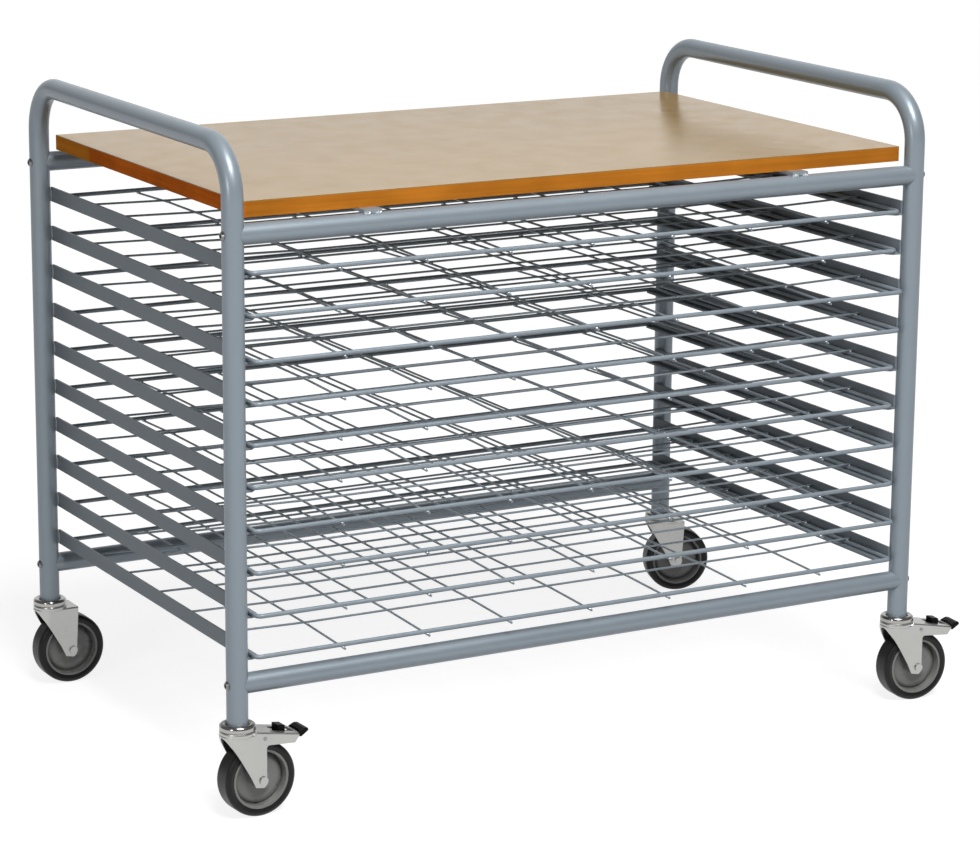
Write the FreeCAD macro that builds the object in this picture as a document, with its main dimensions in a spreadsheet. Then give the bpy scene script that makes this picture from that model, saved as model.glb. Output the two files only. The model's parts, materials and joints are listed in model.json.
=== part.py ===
import FreeCAD, Part
import math
import operator
import os

import Sketcher

# Art drying rack on castors. Millimetres, +Z up, long side along X, front towards -Y.
# The origin lies on the floor, in the middle of the rack's overall length and depth.

SIZES = {
    # side frames: one bent tube each, whose top is the push handle
    "leg_spacing": 1026.0,  # between the axes of the left and right legs
    "leg_depth": 630.0,  # between the axes of the front and rear legs
    "leg_od": 28.0,
    "leg_wall": 1.5,
    "leg_foot": 122.0,  # height of the legs' lower ends
    "handle_rise": 108.5,  # from the upper cross tubes' axes to the handle bar's
    "bend_radius": 65.0,  # of the tube's axis
    # cross tubes
    "cross_od": 26.9,
    "cross_wall": 1.5,
    "low_level": 177.0,  # axes of the lower cross tubes
    "high_level": 753.5,  # axes of the upper cross tubes
    "cope_gap": 0.2,  # between a fish-mouth and its leg
    # threaded plugs in the cross tubes and the screws through the legs
    "insert_length": 22.0,
    "insert_setback": 1.5,  # from the root of the fish-mouth
    "insert_fit": 0.1,
    "screw_od": 8.0,
    "screw_length": 46.0,
    "screw_play": 0.25,
    "screw_head_od": 12.5,
    "screw_crown_od": 8.0,
    "screw_head_height": 2.4,
    "socket_across": 5.0,
    "socket_depth": 2.0,
    # shelf rails
    "rail_width": 20.0,
    "rail_thickness": 3.0,
    "rail_spare": 6.0,  # by which a rail is shorter than the legs' spacing
    "rail_corner": 9.0,  # cut off each flange at the front
    "rail_start": 205.7,  # underside of the lowest rail
    "rail_pitch": 54.7,
    "weld_gap": 0.1,  # between a rail and the side of its legs
    # loose wire shelves
    "rod_od": 6.0,
    "rod_corner": 8.0,  # radius of the frame rod's axis
    "shelf_spare": 4.0,  # by which the rods' spacing is less than the legs'
    "side_play": 2.9,  # between a side rod and the rail's web
    "seat_gap": 0.1,  # between a side rod and the rail's flange
    "wire_od": 3.0,
    "wire_seat": 0.05,  # between a wire and the rod that it is welded to
    "long_wire_tip": 1.5,  # past the outside of the side rods
    "cross_wire_tip": 2.5,  # past the outside of the front and rear rods
    # table board
    "board_spare_length": 36.0,  # by which the board is shorter than the legs' spacing
    "board_spare_depth": 28.0,
    "board_thickness": 20.5,
    "board_setback": -3.0,  # middle of the board from the middle of the frame
    "lipping": 6.0,
    "laminate": 1.0,  # thickness of the sheet that covers board and lipping
    # tabs that carry the board, and their screws
    "lug_thickness": 5.0,
    "lug_width": 25.0,
    "lug_tip_width": 14.0,
    "lug_reach": 46.0,  # inwards from the axis of the cross tube
    "lug_heel": 5.0,  # outwards from that axis
    "lug_offset": 322.0,  # from the middle of the frame
    "lug_screw_od": 4.0,
    "lug_screw_play": 0.15,
    "lug_screw_bite": 14.0,  # depth in the board
    "pilot_spare": 1.0,  # depth of the pilot hole past the screw's tip
    "lug_screw_head": 8.0,
    "lug_screw_head_height": 2.4,
    "lug_screw_inset": 9.0,  # from the tip of the tab
    # castors
    "wheel_od": 100.0,
    "tyre_width": 32.0,
    "tyre_shoulder": 6.0,  # radius between tread and sides
    "rim_od": 78.6,
    "rim_width": 29.0,
    "rim_wall": 2.8,
    "rim_fit": 0.05,
    "dish_depth": 9.0,
    "hub_od": 24.0,
    "hub_width": 36.0,
    "axle_od": 8.0,
    "axle_play": 0.1,
    "castor_trail": 26.0,
    "fork_inside": 36.8,
    "fork_sheet": 2.5,
    "fork_top": 113.0,
    "fork_back": 24.0,
    "fork_heel_start": 22.7,
    "fork_heel_run": 8.0,
    "fork_heel_height": 57.0,
    "fork_foot_start": 15.0,
    "fork_foot_end": 27.0,
    "fork_foot_height": 40.0,
    "fork_front": 31.0,
    "fork_lean": 4.0,  # of the front edge of a fork that has no brake
    "fork_bend": 2.0,
    "crown_bulge": 1.5,  # of the lower race's rounded rim
    "race_od": 47.0,
    "race_cup_od": 34.0,
    "race_top": 117.9,
    "race_gap": 0.5,
    "crest_sink": 0.2,  # of the rounded crest's centre below the legs' feet
    "recess_od": 29.0,
    "king_pin_od": 12.0,
    "king_pin_play": 0.1,
    "king_pin_head_od": 18.0,
    "king_pin_head": 2.6,
    "stem_od": 10.0,
    "stem_length": 36.0,
    "socket_length": 32.0,
    "socket_fit": 0.15,
    "bolt_head_od": 11.0,
    "bolt_head_height": 2.5,
    "nut_across": 13.0,
    "nut_height": 4.5,
    # foot brake
    "arm_top": 116.0,
    "arm_start": 12.0,
    "arm_ramp": 4.0,
    "arm_reach": 78.0,
    "arm_bow": 5.0,  # of the rounded end past the ends of the sides
    "arm_fall": 13.4,  # of the top from the ramp to twice the bow past the sides
    "arm_lip": 1.4,  # from there to the underside of the rounded end
    "arm_root_height": 96.2,
    "arm_chamfer": 6.0,  # by which the sides' lower corners are set back from their ends
    "arm_tip_height": 93.2,
    "notch_round": 4.0,
    "slot_start": 46.0,
    "slot_lip": 2.0,  # from the slot to the ends of the sides
    "slot_width": 19.0,
    "pin_run": 29.0,
    "pin_height": 105.5,
    "pin_od": 5.0,
    "pin_play": 0.1,
    "pin_proud": 0.8,
    "lever_eye_od": 9.0,
    "lever_width": 30.0,
    "lever_sheet": 2.0,
    "lever_root": 102.0,  # height of the underside below the pin
    "lever_tip": 98.1,  # height of the underside at the end
    "lever_past": 8.0,  # of the lever past the ends of the sides
    "tongue_width": 18.0,
    "shoe_start": 43.0,
    "shoe_end": 53.0,
    "shoe_heel": 100.2,
    "shoe_toe": 97.2,
    "release_start": 53.5,
    "release_run": 10.5,
    "release_width": 16.0,
    "release_top": 116.0,
    "release_fall": 1.5,  # of the top over the pad's length
    "pad_round": 1.0,
    "pedal_width": 29.0,
    "pedal_gap": 1.0,  # from the end of the housing
    "pedal_past": 17.5,  # of the pedal's nose past the ends of the sides
    "pedal_root": 2.0,  # past the ends of the sides, before the round face is cut
    "pedal_crest_run": 6.5,  # from the nose back to the highest edge
    "pedal_brow_run": 1.0,
    "pedal_keel_run": 10.5,
    # heights over or under the end of the housing's top
    "pedal_back": 1.6,
    "pedal_crest": 5.4,
    "pedal_brow": 4.7,
    "pedal_nose": 1.2,
    "pedal_keel": 5.7,
    "pedal_heel": 4.8,
    "pedal_round": 1.2,
    # how far each loose shelf stands forward of its middle place, from the top shelf down
    "forward_01": 4.0,
    "forward_02": 0.0,
    "forward_03": 18.0,
    "forward_04": 14.0,
    "forward_05": 4.0,
    "forward_06": 3.0,
    "forward_07": 10.0,
    "forward_08": 11.0,
    "forward_09": 16.0,
    "forward_10": 12.0,
}
COUNTS = {
    "rail_count": 10,
    "long_wire_count": 5,
    "cross_wire_count": 7,
}
# how far each castor has swivelled about its stem, in degrees
TURNS = {
    "turn_front_left": 3.0,
    "turn_front_right": -5.0,
    "turn_rear_left": 0.0,
    "turn_rear_right": -18.0,
}
FULL_TURN = 360
TOUCH = 0.01  # how near an edge lies to the place that is looked for
HEX_ROOT = math.cos(math.pi / 6)

document = FreeCAD.newDocument("drying_rack")
sheet = document.addObject("Spreadsheet::Sheet", "Sizes")
for line, (alias, number) in enumerate({**SIZES, **COUNTS, **TURNS}.items(), start=1):
    sheet.set(f"A{line}", alias)
    sheet.set(f"B{line}", str(number))
    sheet.setAlias(f"B{line}", alias)
document.recompute()


class Size:
    """A number of the sheet, or one worked out from such numbers, that knows its own formula."""

    def __init__(self, value, formula):
        self.value = float(value)
        self.formula = formula

    def __add__(self, other):
        return joined(self, "+", other)

    def __sub__(self, other):
        return joined(self, "-", other)

    def __mul__(self, other):
        return joined(self, "*", other)

    def __truediv__(self, other):
        return joined(self, "/", other)

    def __radd__(self, other):
        return joined(other, "+", self)

    def __rsub__(self, other):
        return joined(other, "-", self)

    def __rmul__(self, other):
        return joined(other, "*", self)

    def __neg__(self):
        return joined(0, "-", self)


SIGNS = {"+": operator.add, "-": operator.sub, "*": operator.mul, "/": operator.truediv}


def sized(number):
    """The number as a Size; a Size is returned as it is."""
    if isinstance(number, Size):
        return number
    if number < 0:
        return Size(number, f"(0 - {-number})")
    return Size(number, str(number))


def joined(left, sign, right):
    """The sum, difference, product or quotient of two sizes, with its formula."""
    left = sized(left)
    right = sized(right)
    value = SIGNS[sign](left.value, right.value)
    return Size(value, f"({left.formula} {sign} {right.formula})")


def size(name):
    """A size of the sheet, by its alias."""
    return Size(sheet.get(name), f"Sizes.{name}")


def bind(thing, place, value):
    """Ties a property of an object to a formula of the sheet's sizes."""
    thing.setExpression(place, sized(value).formula)


# ---------------------------------------------------------------- helpers for the document


def put(thing, at, turn=None):
    """Places an object at (x, y, z), turned about its own Z by an angle of the sheet."""
    if turn is not None:
        thing.Placement = FreeCAD.Placement(
            FreeCAD.Vector(), FreeCAD.Rotation(FreeCAD.Vector(0, 0, 1), 1.0)
        )
        bind(thing, "Placement.Rotation.Angle", turn)
    for axis, value in zip("xyz", at):
        bind(thing, f"Placement.Base.{axis}", value)


def new_body(label, at=None, turn=None):
    """A PartDesign body with its label; most stand in the rack's own frame."""
    body = document.addObject("PartDesign::Body", label)
    body.Label = label
    body.AllowCompound = True
    put(body, at or (CENTRE_X, 0, 0), turn)
    return body


def new_sketch(body, plane, lift=0):
    """A sketch on one of the body's origin planes, moved along the plane's normal by lift."""
    sketch = body.newObject("Sketcher::SketchObject", f"{body.Name}_sketch")
    support = [item for item in body.Origin.OriginFeatures if item.Role == plane]
    sketch.AttachmentSupport = [(support[0], "")]
    sketch.MapMode = "FlatFace"
    bind(sketch, "AttachmentOffset.Base.z", lift)
    return sketch


def hold(sketch, edge, end, across=None, along=None):
    """Fixes a point by its distances from the sketch's origin, each tied to its formula."""
    for kind, axis, value in (("DistanceX", -2, across), ("DistanceY", -1, along)):
        if value is None:
            continue
        value = sized(value)
        if value.formula == "0":
            sketch.addConstraint(Sketcher.Constraint("PointOnObject", edge, end, axis))
            continue
        rule = Sketcher.Constraint(kind, -1, 1, edge, end, value.value)
        number = sketch.addConstraint(rule)
        sketch.setExpression(f"Constraints[{number}]", value.formula)


def spot(point):
    """A point of a sketch as a vector."""
    return FreeCAD.Vector(sized(point[0]).value, sized(point[1]).value, 0)


def bulge(start, end, centre):
    """The arc from start to end round centre, by way of the side away from the centre."""
    middle = (start + end) / 2 - centre
    middle.normalize()
    crown = centre + middle * start.distanceToPoint(centre)
    return Part.Arc(start, crown, end)


def draw(sketch, corners, arcs=None, closed=True):
    """Joins corners with straight edges, or with arcs given as {corner number: centre}.

    Each arc's centre is held one way only, because its two ends already fix the rest.
    """
    arcs = arcs or {}
    count = len(corners) if closed else len(corners) - 1
    ends = []
    for index in range(count):
        start = spot(corners[index])
        end = spot(corners[(index + 1) % len(corners)])
        if index in arcs:
            edge = sketch.addGeometry(bulge(start, end, spot(arcs[index])))
            first = 1 if sketch.getPoint(edge, 1).distanceToPoint(start) < TOUCH else 2
        else:
            edge = sketch.addGeometry(Part.LineSegment(start, end))
            first = 1
        ends.append((edge, first, 3 - first))
    for index, (edge, first, last) in enumerate(ends):
        hold(sketch, edge, first, *corners[index])
        if index in arcs:
            last_corner = corners[(index + 1) % len(corners)]
            hold_centre(sketch, edge, arcs[index], corners[index], last_corner)
        following = ends[(index + 1) % count]
        if closed or index < count - 1:
            rule = Sketcher.Constraint("Coincident", edge, last, following[0], following[1])
            sketch.addConstraint(rule)
        else:
            hold(sketch, edge, last, *corners[-1])


def hold_centre(sketch, edge, centre, start, end):
    """Holds an arc's centre across, or upwards where the arc's ends are level with each other."""
    if sized(start[1]).formula == sized(end[1]).formula:
        hold(sketch, edge, 3, along=centre[1])
    else:
        hold(sketch, edge, 3, across=centre[0])


def ring(sketch, centre, *radii):
    """Circles about one centre."""
    for radius in radii:
        radius = sized(radius)
        edge = sketch.addGeometry(
            Part.Circle(spot(centre), FreeCAD.Vector(0, 0, 1), radius.value)
        )
        number = sketch.addConstraint(Sketcher.Constraint("Radius", edge, radius.value))
        sketch.setExpression(f"Constraints[{number}]", radius.formula)
        hold(sketch, edge, 3, *centre)


def feature(body, kind, sketch, length=None, symmetric=False):
    """Pads or pockets a sketch; with no length it goes through everything, both ways."""
    new = body.newObject(f"PartDesign::{kind}", f"{body.Name}_{kind.lower()}")
    new.Profile = sketch
    new.Refine = True
    if length is None:
        new.Type = "ThroughAll"
        new.SideType = "Symmetric"
    else:
        new.SideType = "Symmetric" if symmetric else "One side"
        bind(new, "Length", length)
    return new


def pad(body, sketch, length, symmetric=False):
    return feature(body, "Pad", sketch, length, symmetric)


def pocket(body, sketch, length=None, symmetric=False):
    return feature(body, "Pocket", sketch, length, symmetric)


def revolve(body, sketch, axis="V_Axis"):
    """A full turn of a sketch about one of its axes."""
    new = body.newObject("PartDesign::Revolution", f"{body.Name}_revolution")
    new.Profile = sketch
    new.ReferenceAxis = (sketch, [axis])
    new.Angle = FULL_TURN
    return new


def repeat(body, originals, direction, count, spacing):
    """Repeats features in a row along one of the body's origin axes."""
    document.recompute()
    new = body.newObject("PartDesign::LinearPattern", f"{body.Name}_row")
    new.Originals = originals
    axis = [item for item in body.Origin.OriginFeatures if item.Role == direction]
    new.Direction = (axis[0], [""])
    new.Mode = "Spacing"
    bind(new, "Offset", spacing)
    bind(new, "Occurrences", count)
    body.Tip = new
    return new


def sweep(body, section, path, edges):
    """Carries a section along the first edges of a path."""
    document.recompute()
    new = body.newObject("PartDesign::AdditivePipe", f"{body.Name}_pipe")
    new.Profile = section
    new.Spine = (path, [f"Edge{number + 1}" for number in range(edges)])
    return new


def round_edges(body, base, radius, chosen):
    """Fillets the edges of a feature that the given test picks by their middle."""
    document.recompute()
    names = []
    for number, edge in enumerate(base.Shape.Edges, start=1):
        middle = edge.valueAt((edge.FirstParameter + edge.LastParameter) / 2)
        if chosen(middle):
            names.append(f"Edge{number}")
    if not names:
        raise RuntimeError(f"{body.Label}: no edge to round")
    new = body.newObject("PartDesign::Fillet", f"{body.Name}_round")
    new.Base = (base, names)
    bind(new, "Radius", radius)
    return new


def group(label, members):
    """Like pieces kept in one node, each a solid of its own."""
    new = document.addObject("Part::Compound", label)
    new.Label = label
    new.Links = members
    return new


def hexagon(sketch, centre, across):
    """A regular hexagon by its width across flats, with two flats along the sketch's X."""
    half = across / 2
    corner = half / HEX_ROOT
    steps = ((1, 0), (0.5, 1), (-0.5, 1), (-1, 0), (-0.5, -1), (0.5, -1))
    draw(sketch, [(centre[0] + corner * a, centre[1] + half * b) for a, b in steps])


def bow(width, rise):
    """Radius of an arc by its width and by its rise over the chord."""
    half = width / 2
    return (half * half + rise * rise) / (2 * rise)


def on_line(line, run):
    """Height of a straight line between two points (run, height) at another run."""
    (start, low), (end, high) = line
    return low + (high - low) * (run - start) / (end - start)


# ---------------------------------------------------------------- places shared by the pieces

leg_x = size("leg_spacing") / 2
leg_y = size("leg_depth") / 2
leg_radius = size("leg_od") / 2
cross_radius = size("cross_od") / 2
bore_radius = cross_radius - size("cross_wall")
low_level = size("low_level")
high_level = size("high_level")
rod_radius = size("rod_od") / 2
wire_radius = size("wire_od") / 2
web_outside = leg_x - leg_radius - size("weld_gap")
web_inside = web_outside - size("rail_thickness")
flange_tip = web_outside - size("rail_width")
rod_x = web_inside - size("side_play") - rod_radius
shelf_depth = size("leg_depth") - size("shelf_spare")
rod_y = shelf_depth / 2
board_bottom = high_level + cross_radius + size("lug_thickness")
board_x = (size("leg_spacing") - size("board_spare_length")) / 2
board_y = (size("leg_depth") - size("board_spare_depth")) / 2
lug_screw_y = leg_y - size("lug_reach") + size("lug_screw_inset")
wheel_radius = size("wheel_od") / 2
trail = size("castor_trail")
fork_outside = size("fork_inside") + 2 * size("fork_sheet")
# the brake housing's top slopes down from its ramp to a limit past its rounded end
arm_reach = size("arm_reach")
arm_limit = arm_reach + 2 * size("arm_bow")
arm_tip = size("arm_top") - size("arm_fall")
arm_end = arm_tip - size("arm_lip")
arm_crest = ((size("arm_start") + size("arm_ramp"), size("arm_top")), (arm_limit, arm_tip))
bow_radius = bow(fork_outside, size("arm_bow"))
bow_centre = arm_reach + size("arm_bow") - bow_radius
slot_end = arm_reach - size("slot_lip")
pedal_reach = arm_reach + size("pedal_past")
lever_end = arm_reach + size("lever_past")
# upper and lower side of the brake lever, from above and below its pin to its end
lever_under = (
    (size("pin_run"), size("lever_root")),
    (lever_end, size("lever_tip")),
)
lever_upper = (
    (size("pin_run"), size("lever_root") + size("lever_sheet")),
    (lever_end, size("lever_tip") + size("lever_sheet")),
)
CENTRE_X = (wheel_radius - trail - pedal_reach) / 2
SIDES = {"left": -1, "right": 1}
ENDS = {"front": -1, "rear": 1}
LEVELS = {"bottom": low_level, "top": high_level}


# ---------------------------------------------------------------- frame


def side_frame(label, side):
    """One tube bent twice: front leg, handle bar, rear leg, with holes for the frame screws."""
    body = new_body(label)
    top = high_level + size("handle_rise")
    bend = size("bend_radius")
    shoulder = top - bend
    inner = leg_y - bend
    path = new_sketch(body, "YZ_Plane", side * leg_x)
    corners = [
        (-leg_y, size("leg_foot")),
        (-leg_y, shoulder),
        (-inner, top),
        (inner, top),
        (leg_y, shoulder),
        (leg_y, size("leg_foot")),
    ]
    draw(path, corners, {1: (-inner, shoulder), 3: (inner, shoulder)}, closed=False)
    section = new_sketch(body, "XY_Plane", size("leg_foot"))
    ring(section, (side * leg_x, -leg_y), leg_radius, leg_radius - size("leg_wall"))
    sweep(body, section, path, len(corners) - 1)
    holes = new_sketch(body, "YZ_Plane")
    for end in ENDS.values():
        for level in LEVELS.values():
            ring(holes, (end * leg_y, level), size("screw_od") / 2 + size("screw_play"))
    pocket(body, holes)
    return body


def cross_tube(label, end, level):
    """A tube whose two ends are fish-mouthed to sit round the legs."""
    body = new_body(label)
    section = new_sketch(body, "YZ_Plane")
    ring(section, (end * leg_y, level), cross_radius, bore_radius)
    pad(body, section, size("leg_spacing"), symmetric=True)
    copes = new_sketch(body, "XY_Plane")
    for side in SIDES.values():
        ring(copes, (side * leg_x, end * leg_y), leg_radius + size("cope_gap"))
    pocket(body, copes)
    return body


def primitive(kind, name, at, sizes, turn=None):
    """A Part primitive in the rack's frame, turned towards an axis if need be."""
    new = document.addObject(f"Part::{kind}", name)
    if turn is not None:
        new.Placement = FreeCAD.Placement(FreeCAD.Vector(), turn)
    for prop, value in sizes.items():
        bind(new, prop, value)
    for axis, value in zip("xyz", (CENTRE_X + at[0], at[1], at[2])):
        bind(new, f"Placement.Base.{axis}", value)
    return new


def combine(kind, name, base, tool):
    """Part::Cut or Part::Fuse of two objects."""
    new = document.addObject(f"Part::{kind}", name)
    new.Base = base
    new.Tool = tool
    return new


def along_x(side):
    """The turn that points an object's own Z outwards, towards the given side."""
    return FreeCAD.Rotation(FreeCAD.Vector(0, 0, 1), FreeCAD.Vector(side, 0, 0))


def tube_insert(name, side, end, level):
    """A threaded plug inside the end of a cross tube, with its bore for the screw."""
    start = leg_x - leg_radius - size("cope_gap") - size("insert_setback") - size("insert_length")
    at = (side * start, end * leg_y, level)
    length = size("insert_length")
    plug = primitive(
        "Cylinder",
        f"{name}_plug",
        at,
        {"Radius": bore_radius - size("insert_fit"), "Height": length},
        along_x(side),
    )
    bore = primitive(
        "Cylinder",
        f"{name}_bore",
        at,
        {"Radius": size("screw_od") / 2 + size("insert_fit"), "Height": length},
        along_x(side),
    )
    return combine("Cut", name, plug, bore)


def frame_screw(name, side, end, level):
    """A button-head screw with a hexagon socket, through the leg into the plug."""
    face = leg_x + leg_radius
    at = (side * face, end * leg_y, level)
    head_height = size("screw_head_height")
    head = primitive(
        "Cone",
        f"{name}_head",
        at,
        {
            "Radius1": size("screw_head_od") / 2,
            "Radius2": size("screw_crown_od") / 2,
            "Height": head_height,
        },
        along_x(side),
    )
    root = (side * (face - size("screw_length")), end * leg_y, level)
    shank = primitive(
        "Cylinder",
        f"{name}_shank",
        root,
        {"Radius": size("screw_od") / 2, "Height": size("screw_length") + head_height / 2},
        along_x(side),
    )
    floor = (side * (face + head_height - size("socket_depth")), end * leg_y, level)
    key = primitive(
        "Prism",
        f"{name}_key",
        floor,
        {"Circumradius": size("socket_across") / 2 / HEX_ROOT, "Height": head_height},
        along_x(side),
    )
    return combine("Cut", name, combine("Fuse", f"{name}_blank", head, shank), key)


def shelf_rails(label, side):
    """Ten angles in a column: web against the legs, flange inwards at the bottom."""
    body = new_body(label)
    start = size("rail_start")
    thickness = size("rail_thickness")
    section = new_sketch(body, "XZ_Plane")
    corners = [
        (side * flange_tip, start),
        (side * web_outside, start),
        (side * web_outside, start + size("rail_width")),
        (side * web_inside, start + size("rail_width")),
        (side * web_inside, start + thickness),
        (side * flange_tip, start + thickness),
    ]
    draw(section, corners)
    length = size("leg_depth") - size("rail_spare")
    angle = pad(body, section, length, symmetric=True)
    snip = new_sketch(body, "XY_Plane")
    front = -length / 2
    cut = size("rail_corner")
    triangle = [
        (side * flange_tip, front),
        (side * (flange_tip + cut), front),
        (side * flange_tip, front + cut),
    ]
    draw(snip, triangle)
    corner = pocket(body, snip)
    repeat(body, [angle, corner], "Z_Axis", size("rail_count"), size("rail_pitch"))
    return body


# ---------------------------------------------------------------- shelves


def frame_rod(body):
    """One rod bent round four corners and closed in the middle of the front side."""
    bend = size("rod_corner")
    flat_x = rod_x - bend
    flat_y = rod_y - bend
    corners = [
        (0, -rod_y),
        (flat_x, -rod_y),
        (rod_x, -flat_y),
        (rod_x, flat_y),
        (flat_x, rod_y),
        (-flat_x, rod_y),
        (-rod_x, flat_y),
        (-rod_x, -flat_y),
        (-flat_x, -rod_y),
    ]
    bends = {
        1: (flat_x, -flat_y),
        3: (flat_x, flat_y),
        5: (-flat_x, flat_y),
        7: (-flat_x, -flat_y),
    }
    path = new_sketch(body, "XY_Plane")
    draw(path, corners, bends)
    section = new_sketch(body, "YZ_Plane")
    ring(section, (-rod_y, 0), rod_radius)
    return sweep(body, section, path, len(corners))


def mesh_wire(body, planes, place, rod_end, first_crossing, tip, up):
    """A wire welded over (or under) two rods and sprung in to the mesh's own level between.

    It leaves each rod at a slant that reaches the mesh's level at the first crossing.
    """
    on_rod = rod_radius + size("wire_seat") + wire_radius
    in_mesh = wire_radius + size("wire_seat")
    rise = (on_rod - in_mesh) / (rod_end - first_crossing)
    end = rod_end + rod_radius + tip
    height = in_mesh + rise * (end - first_crossing)
    side_plane, end_plane = planes
    path = new_sketch(body, side_plane, place)
    corners = [
        (-end, up * height),
        (-first_crossing, up * in_mesh),
        (first_crossing, up * in_mesh),
        (end, up * height),
    ]
    draw(path, corners, closed=False)
    return path, end, height


def shelf(label, level, forward):
    """A loose shelf: frame rod, long wires welded on top of it, cross wires under it."""
    rod_z = size("rail_start") + level * size("rail_pitch") + size("rail_thickness")
    rod_z = rod_z + size("seat_gap") + rod_radius
    body = new_body(label, at=(CENTRE_X, -forward, rod_z))
    frame_rod(body)
    bay_y = shelf_depth / (size("long_wire_count") + 1)
    bay_x = 2 * rod_x / (size("cross_wire_count") + 1)
    first_y = bay_y - rod_y
    first_x = bay_x - rod_x
    # long wires run along X; on the XZ plane a shift along +Y is a negative lift
    path, end, height = mesh_wire(
        body, ("XZ_Plane", "YZ_Plane"), -first_y, rod_x, -first_x, size("long_wire_tip"), 1
    )
    section = new_sketch(body, "YZ_Plane", -end)
    ring(section, (first_y, height), wire_radius)
    long_wire = sweep(body, section, path, 3)
    repeat(body, [long_wire], "Y_Axis", size("long_wire_count"), bay_y)
    # cross wires run along Y, under the front and rear rods
    path, end, height = mesh_wire(
        body, ("YZ_Plane", "XZ_Plane"), first_x, rod_y, -first_y, size("cross_wire_tip"), -1
    )
    section = new_sketch(body, "XZ_Plane", end)
    ring(section, (first_x, -height), wire_radius)
    cross_wire = sweep(body, section, path, 3)
    repeat(body, [cross_wire], "X_Axis", size("cross_wire_count"), bay_x)
    return body


# ---------------------------------------------------------------- table top


def table_board():
    """The board inside its lipping, with the laminate over both and four pilot holes below."""
    body = new_body("table_board")
    half_length = board_x - size("lipping")
    half_depth = board_y - size("lipping")
    middle = size("board_setback")
    plan = new_sketch(body, "XY_Plane", board_bottom)
    corners = [
        (-half_length, middle - half_depth),
        (half_length, middle - half_depth),
        (half_length, middle + half_depth),
        (-half_length, middle + half_depth),
    ]
    draw(plan, corners)
    pad(body, plan, size("board_thickness"))
    cover = new_sketch(body, "XY_Plane", board_bottom + size("board_thickness"))
    corners = [
        (-board_x, middle - board_y),
        (board_x, middle - board_y),
        (board_x, middle + board_y),
        (-board_x, middle + board_y),
    ]
    draw(cover, corners)
    laminate = pad(body, cover, size("laminate"))
    laminate.Reversed = True
    pilots = new_sketch(body, "XY_Plane", board_bottom)
    for side in SIDES.values():
        for end in ENDS.values():
            radius = size("lug_screw_od") / 2 + size("lug_screw_play")
            ring(pilots, (side * size("lug_offset"), end * lug_screw_y), radius)
    holes = pocket(body, pilots, size("lug_screw_bite") + size("pilot_spare"))
    holes.Reversed = True
    return body


def lipping_strip(label, side, long_side):
    """A strip of solid wood along one edge of the board, mitred at both ends."""
    body = new_body(label)
    wood = size("lipping")
    middle = size("board_setback")
    plan = new_sketch(body, "XY_Plane", board_bottom)
    if long_side:
        corners = [
            (-board_x, middle + side * board_y),
            (board_x, middle + side * board_y),
            (board_x - wood, middle + side * (board_y - wood)),
            (wood - board_x, middle + side * (board_y - wood)),
        ]
    else:
        corners = [
            (side * board_x, middle - board_y),
            (side * board_x, middle + board_y),
            (side * (board_x - wood), middle + board_y - wood),
            (side * (board_x - wood), middle + wood - board_y),
        ]
    draw(plan, corners)
    pad(body, plan, size("board_thickness") - size("laminate"))
    return body


def table_lug(label, side, end):
    """A flat tab on top of an upper cross tube, narrowing inwards, with its screw hole."""
    body = new_body(label)
    wide = size("lug_width") / 2
    slim = size("lug_tip_width") / 2
    centre = side * size("lug_offset")
    heel = end * (leg_y + size("lug_heel"))
    knee = end * (leg_y - size("lug_heel"))
    tip = end * (leg_y - size("lug_reach"))
    plan = new_sketch(body, "XY_Plane", high_level + cross_radius)
    corners = [
        (centre - wide, heel),
        (centre + wide, heel),
        (centre + wide, knee),
        (centre + slim, tip),
        (centre - slim, tip),
        (centre - wide, knee),
    ]
    draw(plan, corners)
    pad(body, plan, size("lug_thickness"))
    hole = new_sketch(body, "XY_Plane")
    radius = size("lug_screw_od") / 2 + size("lug_screw_play")
    ring(hole, (centre, end * lug_screw_y), radius)
    pocket(body, hole)
    return body


def lug_screw(name, side, end):
    """A pan-head wood screw from below; its thread is left out."""
    under = high_level + cross_radius
    head_height = size("lug_screw_head_height")
    place = (side * size("lug_offset"), end * lug_screw_y)
    head = primitive(
        "Prism",
        f"{name}_head",
        (*place, under - head_height),
        {"Circumradius": size("lug_screw_head") / 2, "Height": head_height},
    )
    head.Polygon = 8
    shank = primitive(
        "Prism",
        f"{name}_shank",
        (*place, under - head_height / 2),
        {
            "Circumradius": size("lug_screw_od") / 2,
            "Height": head_height / 2 + size("lug_thickness") + size("lug_screw_bite"),
        },
    )
    return combine("Fuse", name, head, shank)


# ---------------------------------------------------------------- castors


def castor_socket(label, at):
    """The plug in the leg's foot that holds the castor's stem."""
    body = new_body(label, at)
    plan = new_sketch(body, "XY_Plane", size("leg_foot"))
    outside = leg_radius - size("leg_wall") - size("socket_fit")
    ring(plan, (0, 0), outside, size("stem_od") / 2 + size("socket_fit"))
    pad(body, plan, size("socket_length"))
    return body


def castor_head(label, at):
    """Stem, domed upper race and king pin, turned about the swivel axis."""
    body = new_body(label, at)
    floor = size("leg_foot")
    under = size("race_top") + size("race_gap")
    plate = size("fork_top") - size("fork_sheet")
    pin = size("king_pin_od") / 2
    pin_head = plate - size("king_pin_play")
    race = size("race_od") / 2
    recess = size("recess_od") / 2
    outline = [
        (0, pin_head - size("king_pin_head")),
        (size("king_pin_head_od") / 2, pin_head - size("king_pin_head")),
        (size("king_pin_head_od") / 2, pin_head),
        (pin, pin_head),
        (pin, under),
        (race, under),
        (race, floor),
        (recess, floor),
        (size("stem_od") / 2, floor),
        (size("stem_od") / 2, floor + size("stem_length")),
        (0, floor + size("stem_length")),
    ]
    section = new_sketch(body, "XZ_Plane")
    draw(section, outline, {6: ((race + recess) / 2, floor - size("crest_sink"))})
    revolve(body, section)
    return body


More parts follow.
